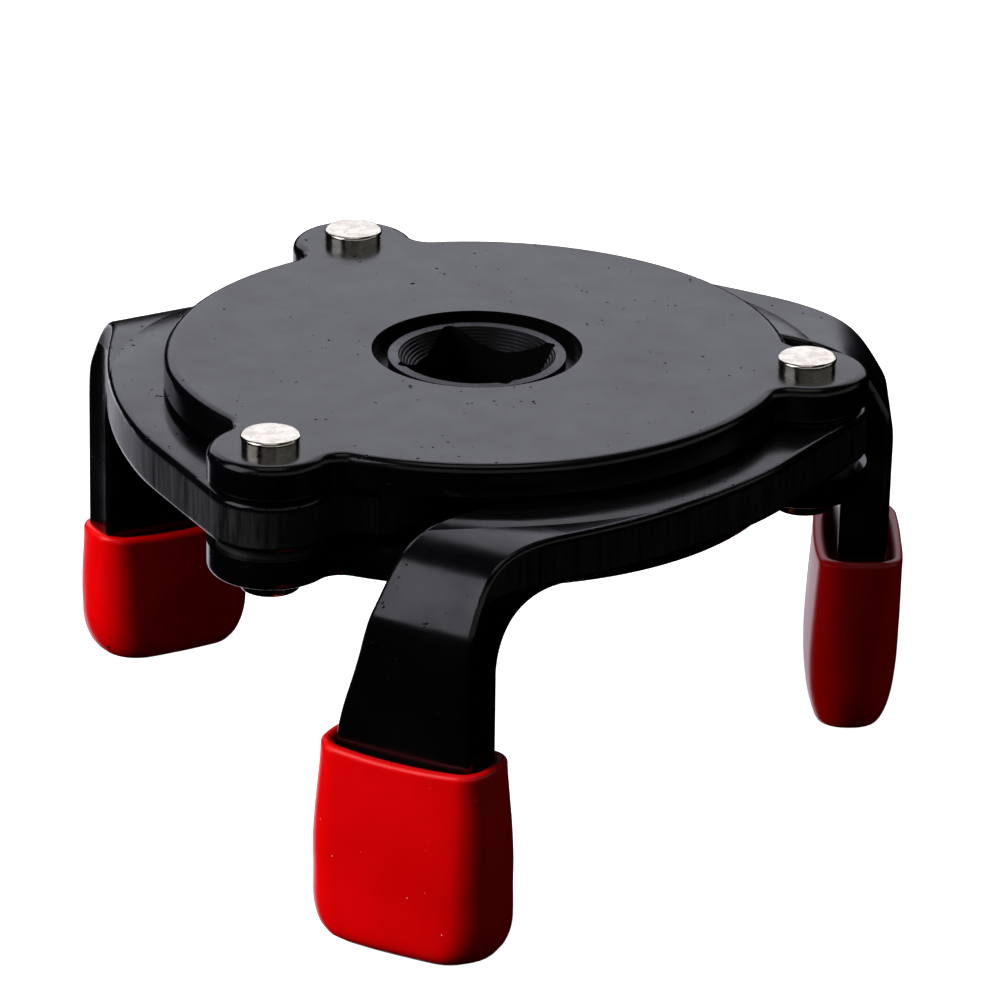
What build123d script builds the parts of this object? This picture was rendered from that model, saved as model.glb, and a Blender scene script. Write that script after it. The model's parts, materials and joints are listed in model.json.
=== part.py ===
from build123d import *
import os
from math import acos, atan, cos, degrees, pi, radians, sin, tan

# Three-jaw oil filter wrench. Millimetres, +Z up. The drive axis is the Z axis, and the origin
# is in the middle of the square drive hole, level with the drive gear's top face.
# A central gear turned by a 3/8 inch square drive meshes with three toothed jaws, which swing
# on pins between two plates, so that their three legs close on the filter together.

# Plates
plate_radius = 24.6
plate_thickness = 2.5
plate_gap = 5.2
plate_edge_round = 0.8
lobe_radius = 4.9
lobe_blend = 1.6
hub_hole_radius = 8.3
gear_recess = 0.5              # the gear's top face lies this far below the top plate's face

# Pivots
pivot_circle = 26.0
pivot_angles = {1: 113.0, 2: 233.0, 3: 353.0}
pin_radius = 2.35
tenon_radius = 1.9
head_radius = 2.35
head_height = 1.0
lower_head_height = 1.5
head_round = 0.3
washer_radius = 4.2
washer_thickness = 0.5
pivot_clearance = 0.07
side_play = 0.1

# Gears: an 18-tooth drive gear and jaws that carry part of a 12-tooth one
pressure_angle = radians(25)
drive_teeth = 18
jaw_teeth = 12
module = 2 * pivot_circle / (drive_teeth + jaw_teeth)
addendum = 0.9 * module
dedendum = 1.15 * module
backlash = 0.34
gear_play = 0.15
hub_clearance = 0.05
nose_radius = 7.0
nose_height = 1.0

# Square drive hole
square_side = 9.6
square_corner = 0.5
square_turn = 66.0
lead_in_radius = 6.2
lead_in_depth = 1.6

# Jaws
jaw_thickness = plate_gap - 2 * washer_thickness - 2 * side_play
eye_radius = 4.8
arm_outer = 28.3
arm_inner = 17.7
arm_outer_end = -33.0          # where the arm leaves its outer arc, in degrees from its pivot
arm_inner_end = -75.0
sector_start = 118.0           # the toothed sector's back edge, as a direction from the pivot
sector_end = 235.0
tooth_directions = (135.0, 165.0, 195.0)
leg_width = 12.0
leg_centre = (-0.7, -32.9)     # in the jaw's own axes, where its pivot lies along +X
leg_normal = -113.0            # the way the leg's outer face looks
outer_bend = ((-10.0, 0.0), (-4.3, 0.35), (-1.1, 1.8), (1.2, 4.9), (2.0, 8.6))   # out, down
inner_bend_radius = 6.0
leg_end = -32.4

# What differs between the three jaws as they were bent and as they rest
jaw_slack = {1: 0.6, 2: -0.6, 3: 0.6}   # where each jaw rests within the play of its teeth
leg_set_out = {1: 0.7, 2: 0.0, 3: 0.0}  # how far each leg's top stands out
leg_lean = {1: 2.5, 2: 0.0, 3: 0.0}     # how each leg leans in towards its foot, in degrees
steel_round = 0.5

# Dipped grips: the three sleeves differ a little, as dipped vinyl does
grip_top_level = {1: -19.8, 2: -22.4, 3: -19.0}
grip_foot_level = {1: -35.1, 2: -33.7, 3: -35.2}
grip_top_size = {1: (14.2, 7.0), 2: (13.6, 6.5), 3: (15.2, 6.6)}
grip_foot_size = {1: (14.6, 7.4), 2: (14.2, 7.2), 3: (16.3, 7.8)}
grip_corner = 2.1
grip_foot_round = 1.3
grip_rim_round = 0.35

# Levels that follow
top_plate_top = gear_recess
top_plate_bottom = top_plate_top - plate_thickness
bottom_plate_top = top_plate_bottom - plate_gap
bottom_plate_bottom = bottom_plate_top - plate_thickness
jaw_top = top_plate_bottom - washer_thickness - side_play
jaw_bottom = jaw_top - jaw_thickness


def polar(angle, radius, centre=(0.0, 0.0)):
    """A point at an angle in degrees and a distance from centre."""
    turn = radians(angle)
    return (centre[0] + radius * cos(turn), centre[1] + radius * sin(turn))


def slab(face, bottom, top):
    """A flat outline made solid between two levels."""
    return extrude(Pos(0, 0, bottom) * face, top - bottom, dir=(0, 0, 1))


def at_pivot(number, shape):
    """Turn a shape from the jaw's own axes to where that jaw is."""
    return Rot(0, 0, pivot_angles[number]) * shape


def at_jaw(number, shape):
    """Turn a jaw's piece to where that jaw rests, its teeth's slack included."""
    pivot = Pos(pivot_circle, 0, 0)
    return at_pivot(number, pivot * Rot(0, 0, jaw_slack[number]) * pivot.inverse() * shape)


def plate(bottom, top, rounded_level):
    """A round plate with a lobe for each pivot, rounded along its outer face."""
    outline = Circle(plate_radius)
    for angle in pivot_angles.values():
        outline += Pos(*polar(angle, pivot_circle)) * Circle(lobe_radius)
    outline = fillet(outline.vertices(), lobe_blend)
    solid = slab(outline, bottom, top)
    rim = solid.edges().filter_by_position(Axis.Z, rounded_level, rounded_level)
    solid = fillet(rim, plate_edge_round)
    solid -= slab(Circle(hub_hole_radius), bottom, top)
    for angle in pivot_angles.values():
        solid -= slab(Pos(*polar(angle, pivot_circle)) * Circle(tenon_radius), bottom, top)
    return solid


def pivot_pin():
    """A shouldered rivet: its thick middle keeps the plates apart, its ends are peened over."""
    top = top_plate_top + head_height
    bottom = bottom_plate_bottom - lower_head_height
    shank = Cylinder(pin_radius, plate_gap)
    shank = Pos(0, 0, (top_plate_bottom + bottom_plate_top) / 2) * shank
    tenon = slab(Circle(tenon_radius), bottom_plate_bottom, top_plate_top)
    upper_head = slab(Circle(head_radius), top_plate_top, top)
    upper_head = fillet(upper_head.edges().group_by(Axis.Z)[-1], head_round)
    lower_head = slab(Circle(head_radius), bottom, bottom_plate_bottom)
    lower_head = fillet(lower_head.edges().group_by(Axis.Z)[0], head_round)
    return Pos(pivot_circle, 0, 0) * (shank + tenon + upper_head + lower_head)


def washer(bottom):
    """A thin spacing washer round the pivot pin."""
    ring = Circle(washer_radius) - Circle(pin_radius + pivot_clearance)
    return Pos(pivot_circle, 0, 0) * slab(ring, bottom, bottom + washer_thickness)


def tooth(teeth, direction):
    """One involute tooth, from inside the root circle to the tip, pointing in a direction."""
    pitch_radius = module * teeth / 2
    base_radius = pitch_radius * cos(pressure_angle)
    root_radius = pitch_radius - dedendum
    tip_radius = pitch_radius + addendum

    def roll(radius):
        slope = acos(base_radius / radius)
        return degrees(tan(slope) - slope)

    half_tooth = degrees((pi * module / 2 - backlash) / 2 / pitch_radius) + roll(pitch_radius)
    steps = 5
    radii = [base_radius + (tip_radius - base_radius) * step / steps for step in range(steps + 1)]
    left = [polar(direction + half_tooth - roll(radius), radius) for radius in radii]
    right = [polar(direction - half_tooth + roll(radius), radius) for radius in radii]
    inner_left = polar(direction + half_tooth, root_radius - 0.5)
    inner_right = polar(direction - half_tooth, root_radius - 0.5)
    return make_face([
        Line(inner_left, left[0]),
        Spline(*left),
        ThreePointArc(left[-1], polar(direction, tip_radius), right[-1]),
        Spline(*reversed(right)),
        Line(right[0], inner_right),
        Line(inner_right, inner_left),
    ])


def gear_outline(teeth, directions):
    """A gear's root circle with a tooth in each of the given directions."""
    outline = Circle(module * teeth / 2 - dedendum)
    for direction in directions:
        outline += tooth(teeth, direction)
    return outline


def drive_gear():
    """The central gear, with a stepped hub in each plate and a square hole through it."""
    first_tooth = pivot_angles[1]
    directions = [first_tooth + 360 * index / drive_teeth for index in range(drive_teeth)]
    teeth_top = top_plate_bottom - gear_play
    teeth_bottom = bottom_plate_top + gear_play
    journal = Circle(hub_hole_radius - hub_clearance)
    solid = slab(gear_outline(drive_teeth, directions), teeth_bottom, teeth_top)
    solid += slab(journal, bottom_plate_bottom, -nose_height)
    solid += slab(Circle(nose_radius), -nose_height, 0)
    square = RectangleRounded(square_side, square_side, square_corner, rotation=square_turn)
    solid -= slab(square, bottom_plate_bottom, 0)
    lead_in = Cone(lead_in_radius - lead_in_depth, lead_in_radius, lead_in_depth)
    return solid - Pos(0, 0, -lead_in_depth / 2) * lead_in


def leg_point(across, out):
    """A point in plan, from the leg's centre: across its width, and out along its normal."""
    normal = radians(leg_normal)
    return (
        leg_centre[0] - across * sin(normal) + out * cos(normal),
        leg_centre[1] + across * cos(normal) + out * sin(normal),
    )


def arm_outline():
    """Plan of the arm and its leg: from the eye, round the drive gear, and out to the leg."""
    pivot = (pivot_circle, 0.0)
    tangent = -degrees(acos((arm_outer - eye_radius) / pivot_circle))
    eye_end = polar(tangent, eye_radius, pivot)
    arc_start = polar(tangent, arm_outer)
    arc_end = polar(arm_outer_end, arm_outer)
    arc_middle = polar((tangent + arm_outer_end) / 2, arm_outer)
    half = leg_width / 2
    leg_out = jaw_thickness
    near_edge = Spline(
        arc_end,
        leg_point(9.7, -9.2),
        leg_point(half, 0),
        tangents=(Vector(*polar(arm_outer_end - 90, 1)), Vector(*polar(leg_normal, 1))),
    )
    inner_start = polar(arm_inner_end, arm_inner)
    inner_end = polar(-9, arm_inner)
    inner_middle = polar((arm_inner_end - 9) / 2, arm_inner)
    return make_face([
        Line(pivot, eye_end),
        Line(eye_end, arc_start),
        ThreePointArc(arc_start, arc_middle, arc_end),
        near_edge,
        Line(leg_point(half, 0), leg_point(half, leg_out)),
        Line(leg_point(half, leg_out), leg_point(-half, leg_out)),
        Line(leg_point(-half, leg_out), leg_point(-half, -leg_out)),
        Line(leg_point(-half, -leg_out), inner_start),
        ThreePointArc(inner_start, inner_middle, inner_end),
        Line(inner_end, pivot),
    ])


def leg_shift(number, level):
    """How far out from its usual place a leg's middle is at a level, because it leans."""
    depth = jaw_top - outer_bend[-1][1] - level
    return leg_set_out[number] - depth * tan(radians(leg_lean[number]))


def bent_strap(number):
    """A wide strip that runs flat, bends down and becomes the leg, as seen along its edge."""
    far_back = -60.0
    out = jaw_thickness / 2
    set_out = leg_set_out[number]
    lean = leg_lean[number]
    shoulder = [(across + set_out, jaw_top - down) for across, down in outer_bend]
    foot = out + leg_shift(number, leg_end)
    inner = (set_out - out - inner_bend_radius, jaw_bottom - inner_bend_radius)
    inner_end = polar(-lean, inner_bend_radius, inner)
    inner_foot = inner_end[0] - tan(radians(lean)) * (inner_end[1] - leg_end)
    section = make_face([
        Line((far_back, jaw_top), shoulder[0]),
        Spline(*shoulder, tangents=((1, 0), polar(-90 - lean, 1))),
        Line(shoulder[-1], (foot, leg_end)),
        Line((foot, leg_end), (inner_foot, leg_end)),
        Line((inner_foot, leg_end), inner_end),
        ThreePointArc(
            inner_end, polar(45 - lean / 2, inner_bend_radius, inner), (inner[0], jaw_bottom)
        ),
        Line((inner[0], jaw_bottom), (far_back, jaw_bottom)),
        Line((far_back, jaw_bottom), (far_back, jaw_top)),
    ])
    return leg_plane(0) * extrude(section, 60, both=True)


def far_edge_trim():
    """Everything on the pivot's side of the strap's far edge, which curves in from the leg.

    It is cut square to the strap halfway round the bend, so its Y runs up the strap's length.
    """
    half = leg_width / 2
    wide = 60.0
    slope = radians(leg_normal)
    across = (-sin(slope), cos(slope), 0)
    square = (cos(slope), sin(slope), 1)
    plane = Plane(origin=(leg_centre[0], leg_centre[1], 0), x_dir=across, z_dir=square)
    outline = make_face([
        Line((-half, -wide), (-half, -16.0)),
        Spline(
            (-half, -16.0),
            (-4.3, -10.2),
            (-2.5, -3.6),
            (-1.6, 1.0),
            (0.3, 4.5),
            (1.9, 14.0),
            tangents=((0, 1), (0, 1)),
        ),
        Line((1.9, 14.0), (1.9, wide)),
        Line((1.9, wide), (wide, wide)),
        Line((wide, wide), (wide, -wide)),
        Line((wide, -wide), (-half, -wide)),
    ])
    return plane * extrude(outline, wide, both=True)


def leg_plane(turn):
    """An upright plane through the leg's centre, with Y up and X turned from the leg's normal."""
    across = radians(leg_normal + turn)
    return Plane(
        origin=(leg_centre[0], leg_centre[1], 0),
        x_dir=(cos(across), sin(across), 0),
        z_dir=(sin(across), -cos(across), 0),
    )


def strap_edges(body):
    """The long edges of a jaw's broad faces, round the eye and along the arm and leg."""
    across = Vector(*leg_point(1, 0)) - Vector(*leg_point(0, 0))
    chosen = []
    for face in body.faces():
        broad = abs(face.normal_at().dot(across)) < 0.01 and face.center().Z > leg_end + 1
        for edge in face.edges() if broad else []:
            seam = abs(edge.tangent_at(0.5).dot(across)) > 0.99
            reach = Vector(edge.center().X, edge.center().Y).length
            if not seam and (reach > pivot_circle + 2 or edge.center().Y < -arm_inner - 1):
                chosen.append(edge)
    return chosen


def jaw(number):
    """A jaw in its own axes: an eye and a toothed sector at the pivot, an arm and a bent leg."""
    pivot = Pos(pivot_circle, 0, 0)
    reach = 2 * pivot_circle
    wedge = Polygon(
        (0, 0),
        polar(sector_start, reach),
        polar(180, reach),
        polar(sector_end, reach),
        align=None,
    )
    sector = pivot * (gear_outline(jaw_teeth, tooth_directions) & wedge)
    body = slab(sector, jaw_bottom, jaw_top)
    body += slab(pivot * Circle(eye_radius), jaw_bottom, jaw_top)
    body += slab(arm_outline(), leg_end, jaw_top) & bent_strap(number) & far_edge_trim()
    body -= slab(pivot * Circle(pin_radius + pivot_clearance), jaw_bottom, jaw_top)
    return fillet(strap_edges(body), steel_round)


def grip(number):
    """The vinyl sleeve that covers the leg's end, slightly wider at the foot."""
    def ring(size, level):
        flat = RectangleRounded(size[1], size[0], grip_corner)
        middle = leg_point(0, leg_shift(number, level))
        return Pos(*middle, level) * Rot(0, 0, leg_normal) * flat

    foot = ring(grip_foot_size[number], grip_foot_level[number])
    sleeve = loft([foot, ring(grip_top_size[number], grip_top_level[number])])
    sleeve = fillet(sleeve.edges().group_by(Axis.Z)[0], grip_foot_round)
    sleeve = fillet(sleeve.edges().group_by(Axis.Z)[-1], grip_rim_round)
    return sleeve


parts = {
    "top_plate": plate(top_plate_bottom, top_plate_top, top_plate_top),
    "bottom_plate": plate(bottom_plate_bottom, bottom_plate_top, bottom_plate_bottom),
    "drive_gear": drive_gear(),
}
for number in pivot_angles:
    one_jaw = jaw(number)
    parts[f"jaw_{number}"] = at_jaw(number, one_jaw)
    parts[f"grip_{number}"] = at_jaw(number, grip(number) - one_jaw)
    parts[f"pivot_pin_{number}"] = at_pivot(number, pivot_pin())
    parts[f"upper_washer_{number}"] = at_pivot(number, washer(top_plate_bottom - washer_thickness))
    parts[f"lower_washer_{number}"] = at_pivot(number, washer(bottom_plate_top))

os.makedirs("parts", exist_ok=True)
for name, shape in parts.items():
    export_step(shape, f"parts/{name}.step")
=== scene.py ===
"""The looks of a three-jaw oil filter wrench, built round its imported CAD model. Metres, +Z up."""

import json
from math import cos, pi, radians, sin, tan

import bpy
from mathutils import Matrix, Vector, noise

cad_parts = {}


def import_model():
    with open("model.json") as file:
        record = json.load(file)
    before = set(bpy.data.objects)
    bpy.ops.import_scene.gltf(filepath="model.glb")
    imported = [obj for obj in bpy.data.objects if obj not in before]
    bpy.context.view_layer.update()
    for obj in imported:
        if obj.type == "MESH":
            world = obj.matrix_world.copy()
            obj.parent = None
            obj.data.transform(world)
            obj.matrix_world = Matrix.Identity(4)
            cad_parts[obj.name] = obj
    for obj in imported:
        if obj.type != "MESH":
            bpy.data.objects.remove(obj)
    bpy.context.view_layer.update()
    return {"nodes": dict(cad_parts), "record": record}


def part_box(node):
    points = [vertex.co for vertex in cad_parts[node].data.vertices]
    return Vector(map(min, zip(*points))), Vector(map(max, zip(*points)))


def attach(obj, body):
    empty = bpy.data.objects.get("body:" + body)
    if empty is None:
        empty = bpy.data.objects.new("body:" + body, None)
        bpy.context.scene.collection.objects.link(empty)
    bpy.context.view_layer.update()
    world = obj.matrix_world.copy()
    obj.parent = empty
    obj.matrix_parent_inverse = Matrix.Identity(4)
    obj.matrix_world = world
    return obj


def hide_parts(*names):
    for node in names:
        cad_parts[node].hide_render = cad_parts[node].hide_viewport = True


MM = 0.001
JAWS = (1, 2, 3)
JAW_THICKNESS = 4.0 * MM

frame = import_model()
nodes = frame["nodes"]

plate_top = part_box("top_plate")[1].z
jaw_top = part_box("jaw_1")[1].z
floor_level = min(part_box(f"grip_{number}")[0].z for number in JAWS)
mounts = {mount["name"]: mount["pos_m"] for mount in frame["record"]["mounts"]}


# ---------------------------------------------------------------- materials

class Shader:
    """A Principled material, and short ways to make the nodes that feed it."""

    def __init__(self, name):
        self.material = bpy.data.materials.new(name)
        self.material.use_nodes = True
        self.tree = self.material.node_tree
        self.tree.nodes.clear()
        self.surface = self.node("ShaderNodeBsdfPrincipled")
        output = self.node("ShaderNodeOutputMaterial")
        self.link(self.surface.outputs["BSDF"], output.inputs["Surface"])
        self.place = self.node("ShaderNodeTexCoord").outputs["Object"]

    def node(self, kind, **settings):
        made = self.tree.nodes.new(kind)
        for key, value in settings.items():
            setattr(made, key, value)
        return made

    def link(self, source, target):
        self.tree.links.new(source, target)

    def feed(self, socket, value):
        """Set a socket to a number, or link it to another node's output."""
        if isinstance(value, bpy.types.NodeSocket):
            self.link(value, socket)
        else:
            socket.default_value = value

    def set(self, **values):
        """Set or link the Principled shader's inputs, named with underscores."""
        for key, value in values.items():
            self.feed(self.surface.inputs[key.replace("_", " ")], value)

    def math(self, operation, first, second=0.0, third=0.0):
        made = self.node("ShaderNodeMath", operation=operation)
        for socket, value in zip(made.inputs, (first, second, third)):
            self.feed(socket, value)
        return made.outputs["Value"]

    def noise(self, size, detail=2.0, rough=0.5, stretch=(1, 1, 1), offset=(0, 0, 0)):
        """Noise whose blobs are about size metres across."""
        mapping = self.node("ShaderNodeMapping")
        self.link(self.place, mapping.inputs["Vector"])
        mapping.inputs["Scale"].default_value = [share / size for share in stretch]
        mapping.inputs["Location"].default_value = offset
        made = self.node("ShaderNodeTexNoise")
        self.link(mapping.outputs["Vector"], made.inputs["Vector"])
        made.inputs["Scale"].default_value = 1.0
        made.inputs["Detail"].default_value = detail
        made.inputs["Roughness"].default_value = rough
        return made.outputs["Fac"]

    def ramp(self, value, low, high, bottom=0.0, top=1.0):
        """Bring a value from the range low..high to bottom..top, with soft ends."""
        made = self.node("ShaderNodeMapRange", interpolation_type="SMOOTHSTEP")
        numbers = (value, low, high, bottom, top)
        for name, number in zip(("Value", "From Min", "From Max", "To Min", "To Max"), numbers):
            self.feed(made.inputs[name], number)
        return made.outputs["Result"]

    def mix(self, share, first, second):
        """Mix two colours."""
        made = self.node("ShaderNodeMix", data_type="RGBA")
        self.feed(made.inputs["Factor"], share)
        for name, colour in (("A", first), ("B", second)):
            socket = [item for item in made.inputs if item.name == name and item.type == "RGBA"][0]
            self.feed(socket, colour)
        return [item for item in made.outputs if item.type == "RGBA"][0]

    def axes(self, vector):
        made = self.node("ShaderNodeSeparateXYZ")
        self.link(vector, made.inputs["Vector"])
        return made.outputs["X"], made.outputs["Y"], made.outputs["Z"]

    def normal(self):
        """The three parts of the surface's own direction."""
        return self.axes(self.node("ShaderNodeNewGeometry").outputs["Normal"])

    def product(self, first, *rest):
        """Several numbers or outputs multiplied together."""
        for value in rest:
            first = self.math("MULTIPLY", first, value)
        return first

    def reach(self):
        """The distance from the drive axis, at rest."""
        x, y, z = self.axes(self.place)
        squares = self.math("ADD", self.product(x, x), self.product(y, y))
        return self.math("SQRT", squares)

    def bump(self, height, depth, below=None):
        """Raise the surface by height times depth metres."""
        made = self.node("ShaderNodeBump")
        made.inputs["Distance"].default_value = depth
        made.inputs["Strength"].default_value = 1.0
        self.link(height, made.inputs["Height"])
        if below is not None:
            self.link(below, made.inputs["Normal"])
        return made.outputs["Normal"]


def rgb(red, green, blue):
    return (red, green, blue, 1.0)


WHITE = rgb(1, 1, 1)
COOL_WHITE = rgb(0.97, 0.97, 1.1)


def painted_relief(shader, pits):
    """Orange peel, a fine grain and pits."""
    peel = shader.bump(shader.noise(2.6 * MM, 1), 0.004 * MM)
    fine = shader.bump(shader.noise(0.35 * MM, 3), 0.0007 * MM, peel)
    return shader.bump(shader.math("SUBTRACT", 1.0, pits), 0.03 * MM, fine)


def arm_crown(shader, relief):
    """Tilt the top of each arm outward from the drive axis, as a slight crown would."""
    start, width, radius = 25.0 * MM, 4.0 * MM, 22.0 * MM
    beyond = shader.math("MAXIMUM", shader.math("SUBTRACT", shader.reach(), start), 0.0)
    beyond = shader.math("MINIMUM", beyond, width)
    return shader.bump(shader.product(beyond, beyond, -0.5 / radius), 1.0, relief)


def cut_edge(shader, low, high):
    """How much of a surface is the sheared edge between two levels, inside its roundings."""
    upright = shader.ramp(shader.math("ABSOLUTE", shader.normal()[2]), 0.35, 0.1)
    level = shader.axes(shader.place)[2]
    under = shader.ramp(level, high - 0.42 * MM, high - 0.75 * MM)
    over = shader.ramp(level, low + 0.4 * MM, low + 0.6 * MM)
    return shader.product(upright, under, over)


def black_paint(name, edge_levels=None):
    """Glossy black paint over steel, with orange peel and pits, and on a jaw its sheared edge."""
    shader = Shader(name)
    cloud = shader.noise(9 * MM, 4)
    pit_area = shader.ramp(shader.noise(7 * MM, 2, offset=(3, 1, 7)), 0.45, 0.55)
    pit_spots = shader.ramp(shader.noise(0.6 * MM, 1, offset=(9, 2, 4)), 0.735, 0.765)
    pits = shader.product(pit_area, pit_spots)
    relief = painted_relief(shader, pits)
    mottle = shader.noise(1.4 * MM, 3, 0.6, stretch=(0.6, 1.2, 1))
    rough = shader.math("ADD", shader.ramp(cloud, 0.3, 0.7, 0.1, 0.2), shader.product(mottle, 0.07))
    rough = shader.math("ADD", rough, shader.product(pits, 0.3))
    deep, pale = rgb(0.001, 0.001, 0.0014), rgb(0.002, 0.002, 0.0025)
    colour = shader.mix(shader.ramp(cloud, 0.3, 0.7), deep, pale)
    if edge_levels:
        relief = arm_crown(shader, relief)
        edge = cut_edge(shader, *edge_levels)
        streaks = shader.noise(0.5 * MM, 3, 0.6, stretch=(1, 1, 0.09))
        relief = shader.bump(shader.product(edge, streaks), 0.025 * MM, relief)
        rough = shader.math("ADD", rough, shader.product(edge, 0.22))
        worn = shader.ramp(streaks, 0.3, 0.7, 0.12, 1.0)
        colour = shader.mix(shader.product(edge, worn), colour, rgb(0.03, 0.03, 0.032))
    gloss = shader.ramp(shader.noise(3 * MM, 4, 0.6, offset=(2, 8, 5)), 0.3, 0.7, 0.44, 0.56)
    gloss = shader.product(gloss, shader.math("SUBTRACT", 1.0, pits))
    shader.set(Base_Color=colour, Roughness=rough, Normal=relief, IOR=1.5, Specular_IOR_Level=gloss)
    return shader.material


def red_vinyl():
    """Dip-moulded vinyl: saturated, glossy and slightly uneven, with a few pale specks."""
    shader = Shader("red_vinyl")
    cloud = shader.ramp(shader.noise(6 * MM, 3), 0.2, 0.8)
    soft = shader.bump(shader.noise(4.5 * MM, 1), 0.03 * MM)
    relief = shader.bump(shader.noise(0.5 * MM, 2), 0.0012 * MM, soft)
    colour = shader.mix(cloud, rgb(0.74, 0.0003, 0.0012), rgb(0.85, 0.0004, 0.0015))
    specks = shader.ramp(shader.noise(0.33 * MM, 1, offset=(4, 1, 6)), 0.79, 0.82)
    colour = shader.mix(specks, colour, rgb(0.9, 0.45, 0.42))
    rough = shader.math("MULTIPLY_ADD", cloud, 0.08, 0.27)
    shader.set(Base_Color=colour, Roughness=rough, Normal=relief, IOR=1.46)
    return shader.material


def pin_metal():
    """Bright plated steel, mottled by the peening, with specks and a few small dents."""
    shader = Shader("bright_steel")
    mottle = shader.noise(0.9 * MM, 4, 0.6)
    specks = shader.ramp(shader.noise(0.28 * MM, 2, offset=(5, 5, 1)), 0.68, 0.76)
    warm = shader.mix(shader.ramp(mottle, 0.4, 0.65), rgb(0.98, 0.94, 0.8), rgb(0.82, 0.74, 0.6))
    colour = shader.mix(specks, warm, rgb(0.3, 0.26, 0.23))
    relief = shader.bump(mottle, 0.03 * MM)
    rough = shader.ramp(mottle, 0.3, 0.7, 0.12, 0.25)
    shader.set(Base_Color=colour, Metallic=1.0, Roughness=rough, Normal=relief)
    return shader.material


def gear_steel():
    """Blackened steel whose turned nose shows pale metal rings round the square hole."""
    shader = Shader("gear_steel")
    ring_pitch = 0.22 * MM
    upward = shader.normal()[2]
    wobble = shader.noise(1.2 * MM, 2)
    turned = shader.math("SINE", shader.product(shader.reach(), 2 * pi / ring_pitch))
    top = shader.ramp(shader.axes(shader.place)[2], -0.06 * MM, -0.02 * MM)
    nose = shader.product(top, shader.ramp(upward, 0.8, 0.95))
    cone = shader.ramp(shader.math("ABSOLUTE", shader.math("SUBTRACT", upward, 0.7)), 0.25, 0.1)
    pale = shader.mix(wobble, rgb(0.055, 0.055, 0.06), rgb(0.11, 0.11, 0.115))
    colour = shader.mix(nose, rgb(0.006, 0.006, 0.007), pale)
    rings = shader.product(turned, shader.math("ADD", nose, cone))
    relief = shader.bump(rings, 0.012 * MM, shader.bump(wobble, 0.01 * MM))
    rough = shader.ramp(wobble, 0.3, 0.7, 0.25, 0.4)
    metal = shader.math("MAXIMUM", nose, 0.6)
    shader.set(Base_Color=colour, Metallic=metal, Roughness=rough, Normal=relief)
    shader.set(Specular_IOR_Level=0.25)
    return shader.material


def washer_steel():
    """Dark oiled steel."""
    shader = Shader("washer_steel")
    cloud = shader.noise(1.5 * MM, 3)
    colour = shader.mix(cloud, rgb(0.05, 0.05, 0.05), rgb(0.12, 0.115, 0.11))
    relief = shader.bump(shader.noise(0.3 * MM, 2), 0.002 * MM)
    rough = shader.ramp(cloud, 0.3, 0.7, 0.3, 0.45)
    shader.set(Base_Color=colour, Metallic=0.8, Roughness=rough, Normal=relief)
    return shader.material


def paint(name, material):
    """Give a CAD node one material in place of whatever it has."""
    materials = nodes[name].data.materials
    materials.clear()
    materials.append(material)


plate_paint = black_paint("plate_paint")
jaw_paint = black_paint("jaw_paint", (jaw_top - JAW_THICKNESS, jaw_top))
vinyl = red_vinyl()
pin_finish = pin_metal()
washer_finish = washer_steel()

paint("top_plate", plate_paint)
paint("bottom_plate", plate_paint)
paint("drive_gear", gear_steel())
for number in JAWS:
    paint(f"jaw_{number}", jaw_paint)
    paint(f"pivot_pin_{number}", pin_finish)
    paint(f"upper_washer_{number}", washer_finish)
    paint(f"lower_washer_{number}", washer_finish)


# ---------------------------------------------------------------- dipped grips

# Each sleeve: the direction its outer face looks and how far the leg leans in, both in degrees,
# then in millimetres (width, depth) at the lip and at its widest, and how far in and how high up
# the foot is rounded at the sleeve's ends and at its broad sides
SLEEVES = {
    1: (0.6, 2.5, (14.1, 6.9), (14.5, 7.3), (2.3, 4.0), (1.7, 7.0)),
    2: (119.4, 0.0, (13.5, 6.4), (14.1, 7.1), (2.4, 4.0), (1.1, 1.9)),
    3: (240.6, 0.0, (14.8, 6.4), (16.2, 7.7), (1.9, 3.6), (0.8, 1.5)),
}


def oblong(width, depth, corner):
    """Points round an oblong whose sides bulge a little, starting at the middle of one end."""
    half_width, half_depth = width / 2, depth / 2
    corner = min(corner, 0.92 * half_depth, 0.92 * half_width)
    flat_width, flat_depth = half_width - corner, half_depth - corner
    corner_steps, width_steps, depth_steps = 8, 14, 6
    points = []
    for quarter in range(4):
        side_x = 1 if quarter in (0, 3) else -1
        side_y = 1 if quarter in (0, 1) else -1
        for step in range(corner_steps + 1):
            angle = (quarter + step / corner_steps) * pi / 2
            x = side_x * flat_width + corner * cos(angle)
            points.append((x, side_y * flat_depth + corner * sin(angle)))
        broad = quarter % 2 == 0
        bulge = 0.045 * (flat_width if broad else flat_depth)
        steps = width_steps if broad else depth_steps
        for step in range(1, steps):
            along = 1 - 2 * step / steps
            out = bulge * (1 - along * along)
            if broad:
                points.append((side_x * along * flat_width, side_y * (half_depth + out)))
            else:
                points.append((side_x * (half_width + out), side_y * along * flat_depth))
    return points


def drawn_in(level, inset, reach):
    """How far a sleeve's side is drawn in at a level above the foot, along a quarter ellipse."""
    share = max(1 - level / reach, 0.0)
    return inset * (1 - (1 - share * share) ** 0.5)


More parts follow.
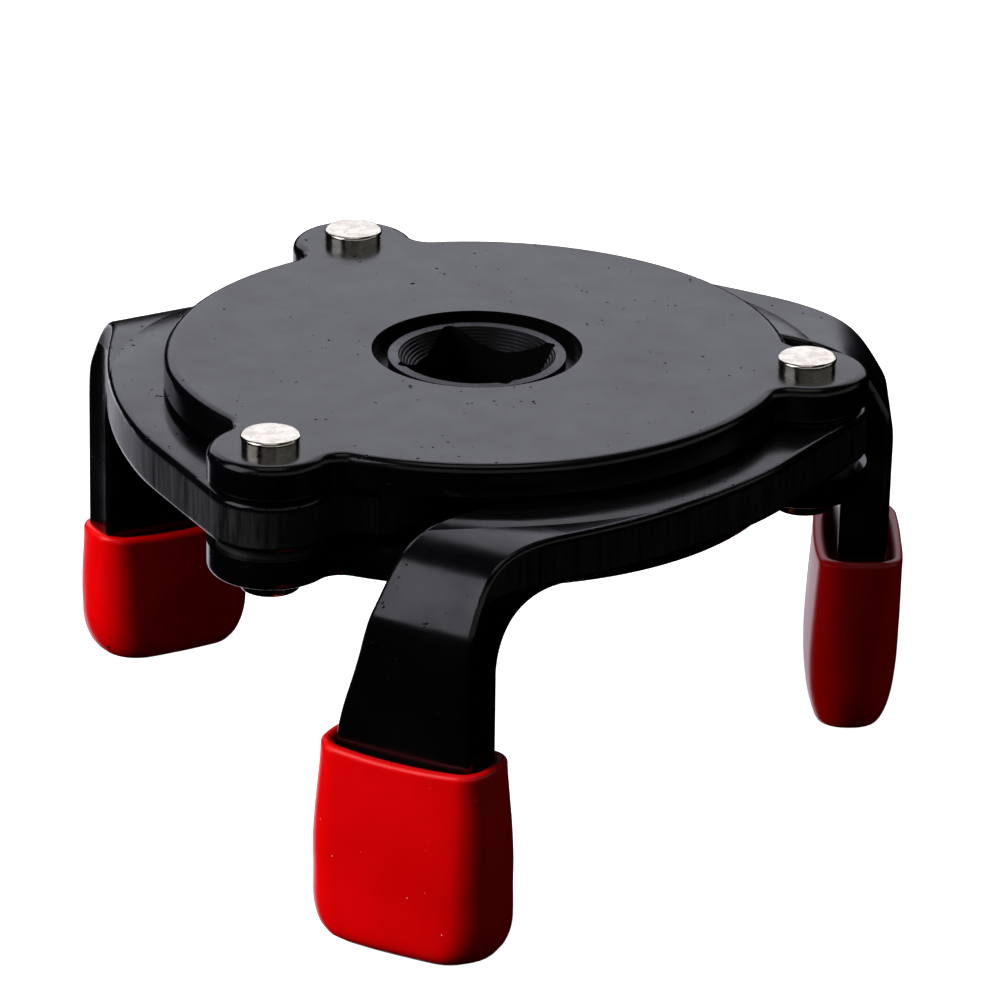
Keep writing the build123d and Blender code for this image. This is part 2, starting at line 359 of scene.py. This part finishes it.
def sleeve_rings(height, lip, widest, end_round, side_round):
    """Level above the foot, width, depth and corner radius of each ring, from inside the lip down."""
    lip_round = 0.5
    lip_steps, side_steps = 8, 34
    lip_corner = 2.3
    swelling = 0.62                # the share of the height over which a sleeve grows to its widest
    rings = [(height - 2.6, lip[0] - 3.0, lip[1] - 2.9, 1.0)]
    for step in range(lip_steps + 1):
        angle = pi * (1 - step / lip_steps)
        inset = lip_round * (1 - cos(angle))
        level = height - lip_round + lip_round * sin(angle)
        rings.append((level, lip[0] - 2 * inset, lip[1] - 2 * inset, lip_corner - inset))
    top = height - lip_round
    for step in range(1, side_steps + 1):
        level = top * (1 - step / side_steps)
        share = min((top - level) / (swelling * top), 1.0)
        swell = sin(share * pi / 2) ** 1.3
        width = lip[0] + (widest[0] - lip[0]) * swell - 2 * drawn_in(level, *end_round)
        depth = lip[1] + (widest[1] - lip[1]) * swell - 2 * drawn_in(level, *side_round)
        rings.append((level, width, depth, lip_corner + share))
    return rings


def sleeve_faces(rings, around):
    """Quads between the rings, and a fan that closes each end, on two points after the rings'."""
    faces = []
    last = (rings - 1) * around
    inside, sole = rings * around, rings * around + 1
    for step in range(around):
        after = (step + 1) % around
        for base in range(0, last, around):
            faces.append((base + step, base + after, base + around + after, base + around + step))
        faces.append((after, step, inside))
        faces.append((last + step, last + after, sole))
    return faces


def add_mesh(name, verts, faces, material):
    """A new object with one material."""
    mesh = bpy.data.meshes.new(name)
    mesh.from_pydata(verts, [], faces)
    mesh.materials.append(material)
    made = bpy.data.objects.new(name, mesh)
    bpy.context.scene.collection.objects.link(made)
    return made


def unevenness(place):
    """How far dipped vinyl stands out at a place, in millimetres, from large and small swellings."""
    return noise.noise(place / (5 * MM)) * 0.05 + noise.noise(place / (1.6 * MM)) * 0.012 - 0.07


def grip(number):
    """A vinyl sleeve dipped onto a leg: a thin rolled lip, swelling sides and a rounded foot."""
    facing, lean, lip, widest, end_round, side_round = SLEEVES[number]
    lip_dip, dip_reach = 0.4, 5.0  # the lip is this much lower at mid side, fading out below it
    foot = Vector(mounts[f"foot_{number}"])
    low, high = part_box(f"grip_{number}")
    height = (high.z - low.z) / MM
    out = Vector((cos(radians(facing)), sin(radians(facing)), 0))
    across = Vector((-out.y, out.x, 0))
    up = Vector((0, 0, 1)) + out * tan(radians(lean))
    verts = []
    rings = sleeve_rings(height, lip, widest, end_round, side_round)
    for level, width, depth, corner in rings:
        middle = foot + up * level * MM
        near_lip = max(1 - (height - level) / dip_reach, 0.0)
        for x, y in oblong(width, depth, corner):
            dip = lip_dip * near_lip * (1 - (2 * x / lip[0]) ** 2)
            place = middle + (across * x + out * y - up * dip) * MM
            verts.append(place + (place - middle).normalized() * unevenness(place) * MM)
    around = len(verts) // len(rings)
    verts.append(foot + up * rings[0][0] * MM)
    verts.append(foot + Vector((0, 0, 0.02 * MM)))
    made = add_mesh(f"sleeve_{number}", verts, sleeve_faces(len(rings), around), vinyl)
    made.data.shade_smooth()
    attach(made, f"jaw_{number}")
    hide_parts(f"grip_{number}")


for number in JAWS:
    grip(number)


# ---------------------------------------------------------------- stage, light and camera

def floor():
    """A large pale floor that the gloss doesn't mirror, and that is clear from underneath."""
    material = bpy.data.materials.new("floor")
    material.use_nodes = True
    tree = material.node_tree
    surface = tree.nodes["Principled BSDF"]
    surface.inputs["Base Color"].default_value = rgb(0.9, 0.9, 0.9)
    surface.inputs["Roughness"].default_value = 1.0
    surface.inputs["Specular IOR Level"].default_value = 0.0
    surface.inputs["Emission Color"].default_value = WHITE
    surface.inputs["Emission Strength"].default_value = 1.0
    from_below = tree.nodes.new("ShaderNodeNewGeometry").outputs["Backfacing"]
    clear = tree.nodes.new("ShaderNodeBsdfTransparent")
    choice = tree.nodes.new("ShaderNodeMixShader")
    tree.links.new(from_below, choice.inputs["Fac"])
    tree.links.new(surface.outputs["BSDF"], choice.inputs[1])
    tree.links.new(clear.outputs["BSDF"], choice.inputs[2])
    tree.links.new(choice.outputs["Shader"], tree.nodes["Material Output"].inputs["Surface"])
    half = 6.0
    corners = [(-half, -half, 0), (half, -half, 0), (half, half, 0), (-half, half, 0)]
    made = add_mesh("floor", corners, [(0, 1, 2, 3)], material)
    made.location.z = floor_level
    made.visible_glossy = False
    made.visible_diffuse = False
    made.visible_shadow = False


def toward(azimuth, elevation):
    """A direction from the object, with azimuth 0 at the camera and 90 at its right."""
    flat = cos(radians(elevation))
    return (flat * sin(radians(azimuth)), -flat * cos(radians(azimuth)), sin(radians(elevation)))


def panel(name, role, azimuth, elevation, distance, width, height, radiance, colour):
    """A soft panel that faces the object, and is either mirrored in its gloss or lights it."""
    light = bpy.data.lights.new(name, "AREA")
    light.color = colour[:3]
    light.shape = "RECTANGLE"
    light.size = width
    light.size_y = height
    light.energy = radiance * pi * width * height
    made = bpy.data.objects.new(name, light)
    direction = Vector(toward(azimuth, elevation))
    made.location = direction * distance
    made.rotation_euler = (-direction).to_track_quat("-Z", "Y").to_euler()
    made.visible_camera = False
    made.visible_glossy = role == "mirrored"
    made.visible_diffuse = role == "lights"
    bpy.context.scene.collection.objects.link(made)


def camera():
    """A long lens that looks down on the tool from 21 degrees."""
    elevation = 0.3725
    distance = 652 * MM
    yaw, pitch, roll = 0.003, -0.0182, -0.0125
    right = Vector((1, 0, 0))
    forward = Vector((0, cos(elevation), -sin(elevation)))
    view = Matrix((right, right.cross(forward), forward))
    about_y = Matrix(((cos(yaw), 0, -sin(yaw)), (0, 1, 0), (sin(yaw), 0, cos(yaw))))
    about_x = Matrix(((1, 0, 0), (0, cos(pitch), -sin(pitch)), (0, sin(pitch), cos(pitch))))
    about_z = Matrix(((cos(roll), -sin(roll), 0), (sin(roll), cos(roll), 0), (0, 0, 1)))
    right, up, forward = about_z @ about_x @ about_y @ view
    lens = bpy.data.cameras.new("camera")
    lens.sensor_width = 36.0
    lens.lens = 298.8
    lens.clip_start = 0.01
    lens.clip_end = 50.0
    made = bpy.data.objects.new("camera", lens)
    turn = Matrix((right, up, -forward)).transposed().to_4x4()
    place = Vector((0, -distance * cos(elevation), distance * sin(elevation) + plate_top))
    made.matrix_world = Matrix.Translation(place) @ turn
    bpy.context.scene.collection.objects.link(made)
    bpy.context.scene.camera = made


def world():
    """A white surround that only the camera sees."""
    made = bpy.data.worlds.new("world")
    made.use_nodes = True
    background = made.node_tree.nodes["Background"]
    background.inputs["Color"].default_value = WHITE
    background.inputs["Strength"].default_value = 1.0
    made.cycles_visibility.diffuse = False
    made.cycles_visibility.glossy = False
    bpy.context.scene.world = made


# Each panel: its role, azimuth and elevation in degrees, distance, width and height in metres,
# radiance and colour
PANELS = {
    "back_panel": ("mirrored", 180, 31, 2.2, 3.2, 1.73, 1.05, COOL_WHITE),
    "back_low_panel": ("mirrored", 198, -27, 2.2, 1.45, 1.0, 1.05, COOL_WHITE),
    "back_light": ("lights", 180, 30, 2.2, 2.0, 1.0, 1.0, WHITE),
    "key_panel": ("mirrored", 289, 38, 1.4, 1.0, 1.0, 1.7, COOL_WHITE),
    "front_panel": ("mirrored", 0, 30, 2.2, 2.4, 1.2, 0.25, WHITE),
    "right_panel": ("mirrored", 68, 26, 2.2, 3.4, 1.0, 0.3, WHITE),
    "top_panel": ("mirrored", 0, 90, 2.2, 1.0, 1.0, 0.6, WHITE),
    "key_light": ("lights", 284, 36, 1.4, 0.7, 0.7, 14.5, WHITE),
    "low_light": ("lights", 272, 5, 1.4, 0.8, 0.3, 7.0, WHITE),
    "fill_light": ("lights", -10, 25, 2.0, 2.4, 2.0, 0.07, WHITE),
    "side_fill": ("lights", 80, 15, 1.6, 1.0, 1.0, 0.45, WHITE),
}

floor()
world()
camera()
bpy.context.scene.view_settings.view_transform = "Standard"
for name, settings in PANELS.items():
    panel(name, *settings)
